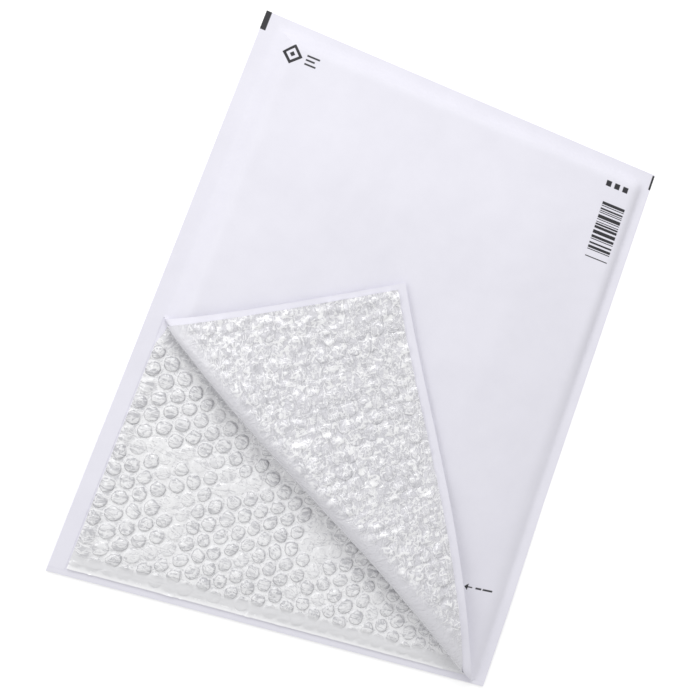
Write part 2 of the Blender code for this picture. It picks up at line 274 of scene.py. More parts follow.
front = bmesh.new()
bmesh.ops.create_grid(front, x_segments=len(past_stations) - 1, y_segments=along_count, size=1)
for vert in front.verts:
    past = past_stations[round((vert.co.x + 1) / 2 * (len(past_stations) - 1))]
    along = along_low + (along_high - along_low) * (vert.co.y + 1) / 2
    vert.co = (*from_fold(past, along), 0)
bmesh.ops.recalc_face_normals(front, faces=front.faces)
trim(front, (WIDTH / 2 - FRONT_INSET, 0), (1, 0))
trim(front, (-WIDTH / 2 + FRONT_INSET, 0), (-1, 0))
trim(front, (0, LENGTH / 2 - FRONT_INSET), (0, 1))
trim(front, (0, FRONT_MOUTH_Y), (0, -1))
trim(front, (-SEAM_X, 0), (1, 0), keep_both=True)
trim(front, (TEAR_X, 0), (1, 0), keep_both=True)
trim(front, (0, FOLD_START.y), (0, 1), keep_both=True)
drop_tear(front, -SEAM_X)
bmesh.ops.recalc_face_normals(front, faces=front.faces)
for face in front.faces:
    if face.normal.z < 0:
        face.normal_flip()

front_paper = add_piece("front_paper", front, lambda x, y, z: place_front(x, y, 0), SHEET)
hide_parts("paper_envelope")


class Value:
    """A shader socket that can be used in sums: an expression on values adds its Math nodes."""

    def __init__(self, tree, socket=None):
        self.tree = tree
        self.socket = socket

    def node(self, kind, inputs, output=0, **settings):
        """Adds a node, with its settings first and then the values or links of its sockets."""
        made = self.tree.nodes.new(kind)
        stops = settings.pop("stops", None)
        for name, setting in settings.items():
            setattr(made, name, setting)
        if stops:
            ramp = made.color_ramp.elements
            for place, colour in stops[1:-1]:
                ramp.new(place).color = (*colour, 1)
            for end, (place, colour) in ((0, stops[0]), (-1, stops[-1])):
                ramp[end].position = place
                ramp[end].color = (*colour, 1)
        for name, given in inputs.items():
            if isinstance(given, Value):
                self.tree.links.new(given.socket, made.inputs[name])
            else:
                made.inputs[name].default_value = given
        return Value(self.tree, made.outputs[output])

    def math(self, operation, *others):
        numbers = (self, *others)
        return self.node("ShaderNodeMath", dict(enumerate(numbers)), operation=operation)

    def __add__(self, other):
        return self.math("ADD", other)

    def __sub__(self, other):
        return self.math("SUBTRACT", other)

    def __rsub__(self, other):
        return (self * -1) + other

    def __mul__(self, other):
        return self.math("MULTIPLY", other)

    def __truediv__(self, other):
        return self.math("DIVIDE", other)

    __radd__ = __add__
    __rmul__ = __mul__

    def ramp(self, low, high):
        """0 below low, 1 above high, and even between them."""
        return self.node(
            "ShaderNodeMapRange", {"Value": self, "From Min": low, "From Max": high}, clamp=True
        )

    def line(self, middle, core, reach):
        """1 where this value is within core of middle, fading to 0 at reach from it."""
        return 1 - (self - middle).math("ABSOLUTE").ramp(core, reach)

    def mix(self, first, second):
        """A colour between two others, with this value as the share of the second."""
        names = {"Factor": self, 6: first, 7: second}
        return self.node("ShaderNodeMix", names, output=2, data_type="RGBA")


def start_finish(name, roughness):
    """A material, its shader and a value to build its nodes from."""
    made = bpy.data.materials.new(name)
    made.use_nodes = True
    shader = made.node_tree.nodes["Principled BSDF"]
    shader.inputs["Roughness"].default_value = roughness
    return made, shader, Value(made.node_tree)


def feed(shader, name, value):
    """Links a value to one of the shader's sockets."""
    value.tree.links.new(value.socket, shader.inputs[name])


INK_SOFT = 0.0002


def printed_box(x, y, low, high):
    """A printed rectangle with slightly soft ink edges, as a mask."""
    return (
        x.ramp(low[0] - INK_SOFT, low[0] + INK_SOFT)
        * (1 - x.ramp(high[0] - INK_SOFT, high[0] + INK_SOFT))
        * y.ramp(low[1] - INK_SOFT, low[1] + INK_SOFT)
        * (1 - y.ramp(high[1] - INK_SOFT, high[1] + INK_SOFT))
    )


PAPER_WHITE = (0.865, 0.855, 0.935)
PAPER_SHADE = (0.835, 0.825, 0.905)
INK = (0.012, 0.012, 0.016)
PAPER_ROUGHNESS = 0.62
TOOTH_SHARE = 0.12
CLOUD_RANGE = (0.35, 0.75)


def flat_place(start):
    """A piece's flat layout: the vector and its two coordinates, in metres."""
    layout = start.node("ShaderNodeUVMap", {}, uv_map="flat")
    across = start.node("ShaderNodeSeparateXYZ", {"Vector": layout}, output=0)
    return layout, across, Value(across.tree, across.socket.node.outputs[1])


def paper_finish(name, prints):
    """Smooth white kraft: faint cloudy fibre, a fine tooth and soft cockles, and the marks on it."""
    made, shader, start = start_finish(name, PAPER_ROUGHNESS)
    place = start.node("ShaderNodeTexCoord", {}, output=3)
    fibre = {"Vector": place, "Scale": 45.0, "Detail": 4.0, "Roughness": 0.6}
    cloud = start.node("ShaderNodeTexNoise", fibre)
    tooth = start.node("ShaderNodeTexNoise", {"Vector": place, "Scale": 1600.0, "Detail": 3.0})
    cockle = start.node("ShaderNodeTexNoise", {"Vector": place, "Scale": 85.0, "Detail": 2.0})
    paper = cloud.ramp(*CLOUD_RANGE).mix((*PAPER_WHITE, 1), (*PAPER_SHADE, 1))
    layout, x, y = flat_place(start)
    colour = prints(x, y).mix(paper, (*INK, 1))
    relief = start.node(
        "ShaderNodeBump", {"Height": tooth * TOOTH_SHARE + cockle, "Strength": 0.25, "Distance": 0.0004}
    )
    feed(shader, "Base Color", colour)
    feed(shader, "Normal", relief)
    return made


def printed_boxes(x, y, boxes):
    """Several printed rectangles as one mask."""
    total = printed_box(x, y, *boxes[0])
    for low, high in boxes[1:]:
        total = total + printed_box(x, y, low, high)
    return total


CORNER_MARKS = (((-0.146, 0.1722), (-0.1413, 0.186)), ((0.1433, 0.1734), (0.146, 0.1842)))
DIAMOND_X = -0.1195
DIAMOND_Y = 0.163
DIAMOND_RADIUS = 0.0066
DIAMOND_HOLE = 0.0041
DIAMOND_DOT = 0.0017
DIAMOND_SOFT = 0.0003
PLAIN_BOXES = (
    ((-0.1105, 0.1650), (-0.1020, 0.1662)),
    ((-0.1105, 0.1622), (-0.1045, 0.1634)),
    ((-0.1105, 0.1594), (-0.1030, 0.1606)),
    ((0.1085, 0.1625), (0.1125, 0.1665)),
    ((0.1150, 0.1625), (0.1190, 0.1665)),
    ((0.1215, 0.1625), (0.1255, 0.1665)),
    ((0.1074, -0.1219), (0.1110, -0.1211)),
    ((0.1135, -0.1221), (0.1180, -0.1209)),
    ((0.1190, -0.1221), (0.1265, -0.1209)),
)
BAR_FIELD = ((0.1105, 0.1115), (0.1280, 0.1515))
BAR_PITCH = 0.00062
BAR_ODDS = 0.52
POINTER_TIP_X = 0.1052
POINTER_BACK_X = 0.1076
POINTER_Y = -0.1215
POINTER_SPREAD = 1.3


def corner_marks(x, y):
    """The black registration marks at the corners of the closed end, cut through by the edge."""
    return printed_boxes(x, y, CORNER_MARKS)


def front_prints(x, y):
    """The corner marks, and in the photograph's places a diamond, rules, squares, bars and a pointer."""
    from_middle = (x - DIAMOND_X).math("ABSOLUTE") + (y - DIAMOND_Y).math("ABSOLUTE")
    hole = from_middle.ramp(DIAMOND_HOLE, DIAMOND_HOLE + DIAMOND_SOFT)
    diamond = (1 - from_middle.ramp(DIAMOND_RADIUS, DIAMOND_RADIUS + DIAMOND_SOFT)) * hole
    diamond = diamond + (1 - from_middle.ramp(DIAMOND_DOT, DIAMOND_DOT + DIAMOND_SOFT))
    row = (y / BAR_PITCH).math("FLOOR")
    odds = row.node("ShaderNodeTexWhiteNoise", {"W": row}, noise_dimensions="1D")
    bars = printed_box(x, y, *BAR_FIELD) * odds.math("GREATER_THAN", BAR_ODDS)
    slope = (y - POINTER_Y).math("ABSOLUTE") * POINTER_SPREAD + (POINTER_TIP_X - x)
    pointer = 1 - slope.ramp(INK_SOFT, 2 * INK_SOFT)
    pointer = pointer * (1 - x.ramp(POINTER_BACK_X, POINTER_BACK_X + INK_SOFT))
    shapes = corner_marks(x, y) + diamond + printed_boxes(x, y, PLAIN_BOXES) + bars + pointer
    return shapes.math("MINIMUM", 1.0)


front_paper.data.materials.append(paper_finish("front_kraft", front_prints))

# The back panel and the flap: a second sheet of the same paper, longer than the front. The part that
# stands past the mouth is the closing flap, folded flat under the back, where its glue strip faces
# down with the peel-off strip on it.
FLAP_LENGTH = 0.050
FLAP_TAPER = 0.006
FLAP_FOLD_RADIUS = 0.00025
FLAP_FOLD_INSET = 0.0004
FLAP_AXIS_Y = MOUTH_Y + FLAP_FOLD_RADIUS + FLAP_FOLD_INSET
FLAP_ROLL = math.pi * FLAP_FOLD_RADIUS
BACK_SQUARE = 0.003
FLAP_ROLL_SQUARE = 0.0001


def place_back(x, y, depth):
    """A point of the back sheet. Past the mouth fold it is the flap, folded under."""
    beyond = FLAP_AXIS_Y - y
    if beyond <= 0:
        return Vector((x, y, back_level(y) + depth))
    turn = min(beyond / FLAP_FOLD_RADIUS, math.pi)
    straight = beyond - FLAP_FOLD_RADIUS * turn
    reach = FLAP_AXIS_Y - (FLAP_FOLD_RADIUS + depth) * math.sin(turn) + straight
    height = MOUTH_RAISE - FLAP_FOLD_RADIUS + (FLAP_FOLD_RADIUS + depth) * math.cos(turn)
    taper = FLAP_TAPER * straight / FLAP_LENGTH
    return Vector((x * (1 - taper / (WIDTH / 2)), reach, height))


roll_end = FLAP_AXIS_Y - FLAP_ROLL
flap_end = roll_end - (MOUTH_Y + FLAP_LENGTH - FLAP_AXIS_Y)
y_stations = fold_stations(
    flap_end, LENGTH / 2, roll_end, FLAP_AXIS_Y, BACK_SQUARE, FLAP_ROLL_SQUARE
)
back_columns = math.ceil(WIDTH / BACK_SQUARE)
back = bmesh.new()
bmesh.ops.create_grid(back, x_segments=back_columns, y_segments=len(y_stations) - 1, size=1)
for vert in back.verts:
    row = round((vert.co.y + 1) / 2 * (len(y_stations) - 1))
    vert.co = (vert.co.x * WIDTH / 2, y_stations[row], 0)
back_paper = add_piece("back_paper_and_flap", back, lambda x, y, z: place_back(x, y, SHEET), SHEET)
back_paper.data.materials.append(paper_finish("back_kraft", corner_marks))
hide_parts("paper_envelope")

# The padding on the back panel: clear bubble film, a flat web with round air bubbles heat-sealed on
# it in close-packed rows. Its edges are crushed flat in the seams, and the corner that lies open
# shows it.
FILM_INSET = 0.004
FILM_MOUTH_INSET = 0.0055
FILM_X = SEAM_X - FILM_INSET
FILM_Y = SEAM_Y - FILM_INSET
FILM_MOUTH_Y = MOUTH_Y + FILM_MOUTH_INSET
FILM_GAP = 0.0003
FILM_DEPTH = 0.0007
WEB = 0.0005
PITCH = 0.0105
ROW_SWAY = 0.0016
BUBBLE_RADIUS = 0.0046
BUBBLE_HEIGHT = 0.0032
OPEN_HEIGHT = 0.0080
BUBBLE_SIDES = 12
UNDER_SQUARE = 0.006
RINGS = (1.0, 0.95, 0.82, 0.58, 0.28)
FIRST_INSET = 0.0002
JOIN_DISTANCE = 0.00002
HALF_SIXTH = math.radians(30)
COLUMN = PITCH * math.cos(HALF_SIXTH)


def nearest_bubble(x, y):
    """The middle of the bubble whose cell a point lies in. The columns run along the envelope."""
    best = None
    near = round(x / COLUMN)
    for column in (near - 1, near, near + 1):
        shift = PITCH / 2 * (column % 2)
        row = round((y - shift) / PITCH)
        spot = Vector((column * COLUMN, row * PITCH + shift))
        gap = (spot - Vector((x, y))).length
        if best is None or gap < best[0]:
            best = (gap, spot)
    return best


HOLLOW_FROM = -0.021
HOLLOW_TO = 0.010
HOLLOW_LENGTH = 0.075
HOLLOW_FADE = 0.005
HOLLOW_END_FADE = 0.03
HOLLOW_WAVER = 0.002
HOLLOW_WAVE = (0.012, 5.5)
PATCH_WAVE = (0.026, 6.5)
PATCH_FROM = 0.42
PATCH_FADE = 0.10
BUCKLE_Y = -0.100
BUCKLE_MIDDLE_X = -0.07
BUCKLE_END_X = -0.030
BUCKLE_SLOPE = 0.10
BUCKLE_HALF_WIDTH = 0.003
BUCKLE_END_FADE = 0.02
SLACK_CORNER = Vector((-0.127, -0.166))
SLACK_CORNER_RADIUS = 0.007
SLACK_CORNER_FADE = 0.005
SLACK_FADE = 0.004


def hollow_share(x, y):
    """1 in the shaded hollow beside the fold's outer half, where the film lies smooth on the paper."""
    past, along = to_fold(x, y)
    waver = HOLLOW_WAVER * uneven(x, y, *HOLLOW_WAVE)
    beside = smooth((past - HOLLOW_FROM + waver) / HOLLOW_FADE) * smooth((HOLLOW_TO - past) / SLACK_FADE)
    return beside * (1 - smooth((along - HOLLOW_LENGTH) / HOLLOW_END_FADE))


def slackness(x, y):
    """1 where the film has lost its air: in loose patches, along a buckle and at the mouth corner."""
    patch = smooth((uneven(x, y, *PATCH_WAVE) - PATCH_FROM) / PATCH_FADE)
    from_line = abs(y - BUCKLE_Y + BUCKLE_SLOPE * (x - BUCKLE_MIDDLE_X))
    line = 1 - smooth((from_line - BUCKLE_HALF_WIDTH) / SLACK_FADE)
    line *= smooth((BUCKLE_END_X - x) / BUCKLE_END_FADE)
    from_corner = (Vector((x, y)) - SLACK_CORNER).length
    corner = 1 - smooth((from_corner - SLACK_CORNER_RADIUS) / SLACK_CORNER_FADE)
    return max(patch, line, corner, hollow_share(x, y))


CELL_SCALE = 997
FLAT_ODDS = 0.06
FLAT_FULLNESS = 0.30
LEAST_FULLNESS = 0.70
SLACK_LOSS = 0.85
SHOULDER = 6


def dome(x, y):
    """Height share of the bubble over a point, from 0 on the web to about 1, and how full it is."""
    gap, spot = nearest_bubble(x, y)
    luck = noise.cell_vector(Vector((spot.x * CELL_SCALE, spot.y * CELL_SCALE, 0.5)))
    full = FLAT_FULLNESS
    if luck.x >= FLAT_ODDS:
        full = LEAST_FULLNESS + (1 - LEAST_FULLNESS) * luck.y
    full *= 1 - SLACK_LOSS * slackness(spot.x, spot.y)
    inside = min(1.0, gap / BUBBLE_RADIUS)
    return full * (1 - inside**SHOULDER) ** 0.5, full


def bubble_film(low, high):
    """A flat layout of bubble film: a cell of web with a bubble's rings, copied in close-packed rows."""
    bm = bmesh.new()
    bmesh.ops.create_circle(bm, cap_ends=True, segments=BUBBLE_SIDES, radius=1)
    top = bm.faces[:][0]
    corner = PITCH / 2 / math.cos(HALF_SIXTH)

    def shape_ring(face, radius_at):
        """Moves each corner of a face to the radius for its number round the circle."""
        for vert in face.verts:
            angle = round(math.atan2(vert.co.y, vert.co.x) / (2 * math.pi) * BUBBLE_SIDES)
            radius = radius_at(angle)
            turned = angle * 2 * math.pi / BUBBLE_SIDES
            vert.co.xy = (radius * math.cos(turned), radius * math.sin(turned))

    shape_ring(top, lambda angle: corner if angle % 2 == 0 else PITCH / 2)
    for share in RINGS:
        bmesh.ops.inset_individual(bm, faces=[top], thickness=FIRST_INSET)
        shape_ring(top, lambda angle: BUBBLE_RADIUS * share)
    bmesh.ops.poke(bm, faces=[top])
    low_column = math.floor(low.x / COLUMN) - 1
    columns = math.ceil((high.x - low.x) / COLUMN) + 3
    rows = math.ceil((high.y - low.y) / PITCH) + 3
    low_row = math.floor(low.y / PITCH) - 1
    first = bm.verts[:] + bm.edges[:] + bm.faces[:]
    bmesh.ops.translate(bm, verts=bm.verts, vec=(low_column * COLUMN, low_row * PITCH, 0))
    for row in range(1, rows):
        made = bmesh.ops.duplicate(bm, geom=first)["geom"]
        verts = [item for item in made if isinstance(item, bmesh.types.BMVert)]
        bmesh.ops.translate(bm, verts=verts, vec=(0, row * PITCH, 0))
    first = bm.verts[:] + bm.edges[:] + bm.faces[:]
    for vert in bm.verts:
        vert.co.y += PITCH / 2 * (low_column % 2)
    for column in range(1, columns):
        made = bmesh.ops.duplicate(bm, geom=first)["geom"]
        verts = [item for item in made if isinstance(item, bmesh.types.BMVert)]
        shift = PITCH / 2 * ((low_column + column) % 2 - low_column % 2)
        bmesh.ops.translate(bm, verts=verts, vec=(column * COLUMN, shift, 0))
    bmesh.ops.remove_doubles(bm, verts=bm.verts, dist=JOIN_DISTANCE)
    trim(bm, (high.x, 0), (1, 0))
    trim(bm, (low.x, 0), (-1, 0))
    trim(bm, (0, high.y), (0, 1))
    trim(bm, (0, low.y), (0, -1))
    return bm


def back_web(bm, low, high):
    """Turns the cut edge down and fills the under side, in squares small enough to follow the paper."""
    rim = [edge for edge in bm.edges if edge.is_boundary]
    turned = bmesh.ops.extrude_edge_only(bm, edges=rim)["geom"]
    for item in turned:
        if isinstance(item, bmesh.types.BMVert):
            item.co.z = -WEB
    hem = [item for item in turned if isinstance(item, bmesh.types.BMEdge) and item.is_boundary]
    under = bmesh.ops.contextual_create(bm, geom=hem)["faces"]
    parts = under + list(under[0].edges) + list(under[0].verts)
    for axis in (0, 1):
        across = Vector((1 - axis, axis, 0))
        count = math.ceil((high[axis] - low[axis]) / UNDER_SQUARE)
        for k in range(1, count):
            spot = across * (low[axis] + (high[axis] - low[axis]) * k / count)
            cut = bmesh.ops.bisect_plane(
                bm, geom=parts, dist=CUT_TOLERANCE, plane_co=spot, plane_no=across
            )
            parts = cut["geom"]
    bmesh.ops.recalc_face_normals(bm, faces=bm.faces)


FILMS_APART = 0.0012
OPENING_FADE = 0.003


def edge_share(x, y, low, high, reach):
    """0 at the edge of a film, 1 from a distance inside it: bubbles at the edges are crushed."""
    return smooth(min(x - low.x, high.x - x, y - low.y, high.y - y) / reach)


def headroom(x, y):
    """Free height between the films' webs under the closed front, or a full bubble in the open."""
    past, along = to_fold(x, y)
    covered = smooth((curl_start(along) - past + OPENING_FADE) / OPENING_FADE)
    free = front_level(x, y) - back_level(y) - 2 * SHEET - FILMS_APART - 2 * WEB - FILM_DEPTH
    return OPEN_HEIGHT + (max(0.0, min(free, OPEN_HEIGHT)) - OPEN_HEIGHT) * covered


def mark_film(bm, crumple_at, shade_at):
    """Writes how full the bubbles are, how crumpled the film is and its painted shade, for its finish.
    """
    full = bm.verts.layers.float.new("fullness")
    crumple = bm.verts.layers.float.new("crumple")
    shade = bm.verts.layers.float.new("shade")
    for vert in bm.verts:
        vert[full] = dome(vert.co.x, vert.co.y)[1]
        vert[crumple] = crumple_at(vert.co.x, vert.co.y)
        vert[shade] = shade_at(vert.co.x, vert.co.y)


back_film_low = Vector((-FILM_X, FILM_MOUTH_Y))
back_film_high = Vector((FILM_X, FILM_Y))
MOUTH_BAND = 0.008
MOUTH_FADE = 0.003
MOUTH_WAVER = 0.001
EDGE_WAVE = (0.02, 2.5)
# Share of the painted shade on the smooth band inside the mouth's lip.
BAND_PAINTED_SHADE = 0.45
LIP_WIDTH = 0.0008
LIP_HEIGHT = 0.0010
LIP_REACH = 0.002
BACK_HEIGHT = 0.62 * BUBBLE_HEIGHT
BACK_CRUSH_REACH = 0.004
CRUSHED_HEIGHT = 0.35
BUCKLE_HEIGHT = 0.0022
BUCKLE_WAVE = (0.030, 8.5)
BUCKLE_ROOM = 0.4
BUBBLE_ROOM = 0.7
DIMPLE_HEIGHT = 0.0009
DIMPLE_STRETCH = 0.4
DIMPLE_WAVE = (0.0030, 3.5)
CREASE_HEIGHT = 0.0005
CREASE_STRETCH = 0.5
CREASE_WAVE = (0.0040, 9.5)
OPEN_REACH = 0.003
OPEN_Y = FOLD_START.y - 0.006
OPEN_X = -0.095
OPEN_Y_FADE = 0.012
OPEN_X_FADE = 0.040
SWAY_X_WAVE = (0.021, 11.5)
SWAY_Y_WAVE = (0.017, 12.5)


def mouth_share(x, y):
    """0 on the smooth band of web at the mouth, 1 where the bubbles stand."""
    waver = MOUTH_WAVER * uneven(x, y, *EDGE_WAVE)
    return smooth((y - FILM_MOUTH_Y - MOUTH_BAND - waver) / MOUTH_FADE)


def back_film_shade(x, y):
    """Painted shade on the back film: in the hollow beside the fold, and on the band inside the mouth's
    lip.
    """
    band = (1 - mouth_share(x, y)) * smooth((y - FILM_MOUTH_Y - LIP_WIDTH) / LIP_WIDTH)
    return max(hollow_share(x, y), BAND_PAINTED_SHADE * band)


def place_back_film(x, y, level):
    """A point of the back film: up by its bubble and by the buckles, as far as the front leaves room."""
    share, full = dome(x, y)
    crushed = edge_share(x, y, back_film_low, back_film_high, BACK_CRUSH_REACH)
    mouth = mouth_share(x, y)
    room = headroom(x, y)
    wave = 0.5 * crushed * (1 + uneven(x, y, *BUCKLE_WAVE)) * BUCKLE_HEIGHT
    buckle = min(wave, BUCKLE_ROOM * room)
    height = BACK_HEIGHT * share * (CRUSHED_HEIGHT + (1 - CRUSHED_HEIGHT) * crushed) * mouth
    height += DIMPLE_HEIGHT * share * uneven(x * DIMPLE_STRETCH, y, *DIMPLE_WAVE)
    creases = 1 + uneven(x * CREASE_STRETCH, y, *CREASE_WAVE)
    height += CREASE_HEIGHT * (1 - full) * mouth * creases
    height = max(0.0, min(height, BUBBLE_ROOM * room - buckle))
    if level < 0:
        height = 0.0
    lip = LIP_HEIGHT * (1 - smooth((y - FILM_MOUTH_Y) / LIP_REACH))
    opened = smooth((OPEN_Y - y) / OPEN_Y_FADE) * smooth((OPEN_X - x) / OPEN_X_FADE)
    lift = WEB + buckle + level + height + lip
    spot_x = x + ROW_SWAY * crushed * uneven(x, y, *SWAY_X_WAVE) - OPEN_REACH * opened
    spot_y = y + ROW_SWAY * crushed * uneven(x, y, *SWAY_Y_WAVE)
    return Vector((spot_x, spot_y, back_level(spot_y) + SHEET + FILM_GAP + lift))


back_film_sheet = bubble_film(back_film_low, back_film_high)
mark_film(back_film_sheet, mouth_share, back_film_shade)
back_web(back_film_sheet, back_film_low, back_film_high)
back_film = add_piece("back_bubble_film", back_film_sheet, place_back_film)
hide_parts("bubble_lining")


RING_RADIUS = BUBBLE_RADIUS - 0.0003
FILM_LIGHT = (0.93, 0.93, 0.945)
FILM_DISC = (0.8214, 0.8214, 0.8437)
FILM_GREY = (0.735, 0.73, 0.775)
# Painted shade laid on the back film in the hollow under the roll and on the mouth band.
FILM_PAINTED_SHADE = (0.60, 0.60, 0.63)
FILM_SHADE = (0.52, 0.52, 0.55)
FILM_RING_SHADE = (0.42, 0.42, 0.45)
# Painted glints and highlights on the film.
FILM_GLINT = (0.97, 0.97, 0.98)
WHITE = (1, 1, 1)
FILM_ROUGHNESS = 0.16
# Painted reflections on the bubble tops: dark and bright streaks around the disc's own grey.
PAINTED_STREAK_REFLECTIONS = ((0.38, FILM_SHADE), (0.58, FILM_GLINT), (0.5802, FILM_DISC), (1.0, WHITE))
STREAK_STRETCH = 0.22
RING_WAVER = 0.0030
# Where the painted shade ring and the painted highlight round each bubble lie.
RING_SHADE_LINE = (RING_RADIUS - 0.0003, 0.00010, 0.00040)
GLOW_LINE = (RING_RADIUS + 0.0004, 0.00020, 0.00050)
INSIDE_RANGE = (RING_RADIUS - 0.0007, RING_RADIUS + 0.0001)
MARGIN_RANGE = (-FILM_X + 0.007, -FILM_X + 0.012)
MARGIN_DARKER = 0.05
# Painted shade along the creases, and painted highlights beside them.
CREASE_SHADE_LINE = (0.47, 0.012, 0.045)
LIT_LINE = (0.55, 0.012, 0.045)
# Painted shade along the crumple's folds, and painted glints on its crests.
FOLD_SHADE_LINE = (0.47, 0.006, 0.028)
SPARKLE_RANGE = (0.550, 0.600)
CRUSHED_LOSS = 0.85


def film_finish(name, web, crushing):
    """Clear polyethylene on white paper: rings, streaks and creases on it are painted light and shade.

    Crushing is 0 on film that lies open and 1 on the crumpled film of the turned corner.
    """
    made, shader, start = start_finish(name, FILM_ROUGHNESS)
    shader.inputs["Coat Weight"].default_value = 0.5
    shader.inputs["Coat Roughness"].default_value = 0.10
    shader.inputs["IOR"].default_value = 1.5
    full = start.node("ShaderNodeAttribute", {}, output=2, attribute_name="fullness")
    crumple = start.node("ShaderNodeAttribute", {}, output=2, attribute_name="crumple")
    shade = start.node("ShaderNodeAttribute", {}, output=2, attribute_name="shade")
    layout, x, y = flat_place(start)
    even_x = x.math("WRAP", COLUMN, -COLUMN)
    even_y = y.math("WRAP", PITCH / 2, -PITCH / 2)
    odd_x = (x - COLUMN).math("WRAP", COLUMN, -COLUMN)
    odd_y = (y - PITCH / 2).math("WRAP", PITCH / 2, -PITCH / 2)
    is_odd = (odd_x * odd_x + odd_y * odd_y).math("LESS_THAN", even_x * even_x + even_y * even_y)
    off_x = even_x + (odd_x - even_x) * is_odd
    off_y = even_y + (odd_y - even_y) * is_odd
    sway = start.node("ShaderNodeTexNoise", {"Vector": layout, "Scale": 260.0, "Detail": 1.0})
    gap = (off_x * off_x + off_y * off_y).math("SQRT") + (sway - 0.5) * RING_WAVER
    column = ((x - off_x) / COLUMN).math("ROUND")
    row = ((y - off_y) / (PITCH / 2)).math("ROUND")
    bubble = start.node("ShaderNodeCombineXYZ", {"X": column, "Y": row})
    luck = start.node("ShaderNodeTexWhiteNoise", {"Vector": bubble}, output=1, noise_dimensions="2D")
    across = start.node("ShaderNodeCombineXYZ", {"X": off_x * STREAK_STRETCH, "Y": off_y})
    own_place = start.node("ShaderNodeVectorMath", {0: across, 1: luck}, operation="ADD")
    streak = start.node("ShaderNodeTexNoise", {"Vector": own_place, "Scale": 560.0, "Detail": 2.0})
    lengthways = start.node("ShaderNodeMapping", {"Vector": layout, "Scale": (0.45, 1.0, 1.0)})
    wrinkled = {"Vector": lengthways, "Scale": 230.0, "Detail": 2.0, "Distortion": 1.2}
    wrinkle = start.node("ShaderNodeTexNoise", wrinkled)
    upright = start.node("ShaderNodeMapping", {"Vector": layout, "Scale": (1.0, 0.7, 1.0)})
    crumpled = {"Vector": upright, "Scale": 340.0, "Detail": 3.0, "Distortion": 1.3}
    crush = start.node("ShaderNodeTexNoise", crumpled)
    bubbly = full * crumple * (1 - CRUSHED_LOSS * crushing)
    # A painted ring of shade on each bubble's wall, and a painted highlight just outside it.
    ring = gap.line(*RING_SHADE_LINE) * bubbly
    glow = gap.line(*GLOW_LINE) * bubbly
    margin = (1 - x.ramp(*MARGIN_RANGE)) * crumple * (1 - crushing)
    inside = (1 - gap.ramp(*INSIDE_RANGE)) * bubbly
    # Painted shade along the wrinkles' creases, and a painted highlight line beside each.
    crease_shade = wrinkle.line(*CREASE_SHADE_LINE) * crumple
    lit = wrinkle.line(*LIT_LINE) * crumple
    # Painted shade along the crumple's folds, and painted glints scattered over it.
    folded = crush.line(*FOLD_SHADE_LINE) * crumple
    sparkle = crush.ramp(*SPARKLE_RANGE) * crumple
    # The bubble tops take painted reflection streaks, with darker streaks along the left margin.
    darker = streak - margin * MARGIN_DARKER
    top = start.node("ShaderNodeValToRGB", {"Fac": darker}, stops=PAINTED_STREAK_REFLECTIONS)
    tint = (inside * 0.9 + margin * 0.6).math("MINIMUM", 0.9).mix((*web, 1), top)
    # Painted shade (hollow, mouth band, creases, rings, folds), painted highlights (creases, bubble
    # rims, glints).
    for share, colour in (
        (shade * 0.9, FILM_PAINTED_SHADE),
        (crease_shade * 0.55, FILM_SHADE),
        (lit * 0.80, FILM_GLINT),
        (glow * 0.85, FILM_GLINT),
        (ring * 0.45, FILM_RING_SHADE),
        (folded * (0.22 + 0.30 * crushing), FILM_SHADE),
        (sparkle * (0.45 + 0.50 * crushing), FILM_GLINT),
    ):
        tint = share.mix(tint, (*colour, 1))
    height = crush * (0.3 + 0.9 * crushing) + wrinkle * 0.8 + streak * inside
    relief = start.node("ShaderNodeBump", {"Height": height, "Strength": 0.8, "Distance": 0.0007})
    feed(shader, "Base Color", tint)
    feed(shader, "Normal", relief)
    return made


back_film.data.materials.append(film_finish("back_film", FILM_LIGHT, 0.0))

# The padding on the front panel: the same bubble film, fixed to the inside of the paper a little
# short of its edges. It turns back with the corner, where it lies on the outside of the roll.
FRONT_FILM_INSET = 0.006
front_film_low = Vector((-FILM_X, FRONT_MOUTH_Y + FRONT_FILM_INSET))
front_film_high = Vector((FILM_X, FILM_Y))
WELD = 0.002
WELD_FADE = 0.015
ROLL_FADE = 0.010
ROLL_BAND = 0.004
ROLL_WAVER = 0.0015
FRONT_CRUSH_REACH = 0.006
SQUASH = 0.88
SQUASH_EVEN = 0.95
SQUASH_SPREAD = 0.4
SQUASH_WAVE = (0.016, 5.5)
CRUMPLE_HEIGHT = 0.0016
CRUMPLE_EVEN = 0.5
CRUMPLE_STRETCH = 0.7
CRUMPLE_WAVE = (0.0042, 3.5)
FRONT_ROOM = 0.3


def weld_dip(x, y, depth):
    """How far the front film drops to its weld with the back film along the seams and closed end."""
    from_edge = min(FILM_X - abs(x), FILM_Y - y)
    past, along = to_fold(x, y)
    inside = smooth((curl_start(along) - past) / WELD_FADE)
    weld_level = back_level(y) + SHEET + FILM_GAP + 2 * WEB
    drop = front_level(x, y) - depth - weld_level
    return max(0.0, drop) * (1 - min(1.0, max(0.0, from_edge / WELD))) * inside


def turned_share(x, y):
    """0 on the smooth stretch over the roll, 1 on both sides of it."""
    past, along = to_fold(x, y)
    waver = ROLL_WAVER * uneven(x, y, *EDGE_WAVE)
    return smooth((abs(past - ROLL_BAND) - ROLL_BAND - waver) / ROLL_FADE)


